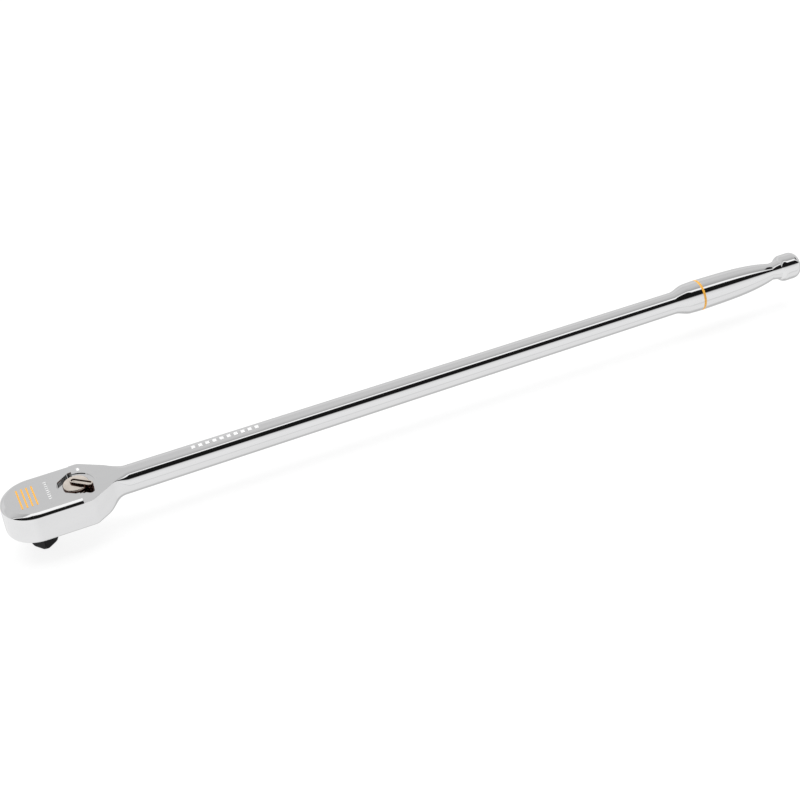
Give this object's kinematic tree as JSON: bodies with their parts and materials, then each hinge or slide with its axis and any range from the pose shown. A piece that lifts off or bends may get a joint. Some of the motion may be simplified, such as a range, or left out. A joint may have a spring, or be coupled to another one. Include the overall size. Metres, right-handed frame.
{
  "type": "ratchet wrench",
  "caption": "Long-handled reversible ratchet wrench with a square drive, a thumb lever on its teardrop head and a waisted round grip.",
  "frame": {"origin": "centre of the square drive's end face", "axes": "+X along the handle towards its end knob, +Z from the drive towards the lever side, +Y completes the right-handed frame"},
  "size_m": [0.61, 0.044, 0.0412],
  "materials": {
    "chrome_body": "polished chrome plate, mirror bright",
    "orange_band": "smooth enamel-filled band",
    "cover_steel": "ground steel",
    "screw_steel": "black oxide",
    "drive_black": "black oxide, oiled",
    "washer_bronze": "plain bronze",
    "seal_rubber": "nitrile rubber",
    "pawl_steel": "hardened steel",
    "pin_steel": "ground steel pin",
    "lever_chrome": "bright chrome plate",
    "spring_steel": "spring wire",
    "ball_steel": "polished ball"
  },
  "bodies": {
    "handle": {"ratchet_body": "chrome_body", "grip_band": "orange_band", "cover_plate": "cover_steel", "cover_screws": "screw_steel", "pawl_pin": "pin_steel"},
    "drive": {"drive_gear": "drive_black", "drive_seal": "seal_rubber", "thrust_washer": "washer_bronze", "socket_ball_spring": "spring_steel"},
    "lever": {"reverse_lever": "lever_chrome", "lever_seal": "seal_rubber", "lever_clip": "spring_steel", "upper_plunger_spring": "spring_steel", "lower_plunger_spring": "spring_steel", "lever_detent_ball": "ball_steel", "lever_detent_spring": "spring_steel"},
    "upper_pawl": {"upper_pawl": "pawl_steel"},
    "lower_pawl": {"lower_pawl": "pawl_steel"},
    "upper_plunger": {"upper_plunger": "pin_steel"},
    "lower_plunger": {"lower_plunger": "pin_steel"},
    "socket_ball": {"socket_ball": "ball_steel"}
  },
  "joints": [
    {"name": "drive_spin", "type": "hinge", "parent": "handle", "child": "drive", "pos_m": [0, 0, 0.0174], "axis": [0, 0, 1], "continuous": true},
    {"name": "lever_swing", "type": "hinge", "parent": "handle", "child": "lever", "pos_m": [0.028, 0, 0.0352], "axis": [0, 0, 1], "range_deg": [0, 84]},
    {"name": "upper_pawl_rock", "type": "hinge", "parent": "handle", "child": "upper_pawl", "pos_m": [0.019, 0, 0.029], "axis": [0, 0, 1], "range_deg": [-12, 0]},
    {"name": "lower_pawl_rock", "type": "hinge", "parent": "handle", "child": "lower_pawl", "pos_m": [0.019, 0, 0.0232], "axis": [0, 0, 1], "range_deg": [-1.2, 0]},
    {"name": "upper_plunger_press", "type": "slide", "parent": "lever", "child": "upper_plunger", "axis": [-0.7431, 0.6691, 0], "range_m": [-0.0008, 0], "stiffness_N_per_m": 400, "deforming": ["upper_plunger_spring"]},
    {"name": "lower_plunger_press", "type": "slide", "parent": "lever", "child": "lower_plunger", "axis": [-0.7431, 0.6691, 0], "range_m": [-0.0008, 0], "stiffness_N_per_m": 400, "deforming": ["lower_plunger_spring"]},
    {"name": "socket_ball_press", "type": "slide", "parent": "drive", "child": "socket_ball", "axis": [0.6018, -0.7986, 0], "range_m": [0, 0.0009], "stiffness_N_per_m": 1500, "deforming": ["socket_ball_spring"]}
  ],
  "couplings": [
    {"joint": "upper_pawl_rock", "follows": "lever_swing", "ratio": -0.14286},
    {"joint": "lower_pawl_rock", "follows": "lever_swing", "ratio": -0.014286}
  ]
}
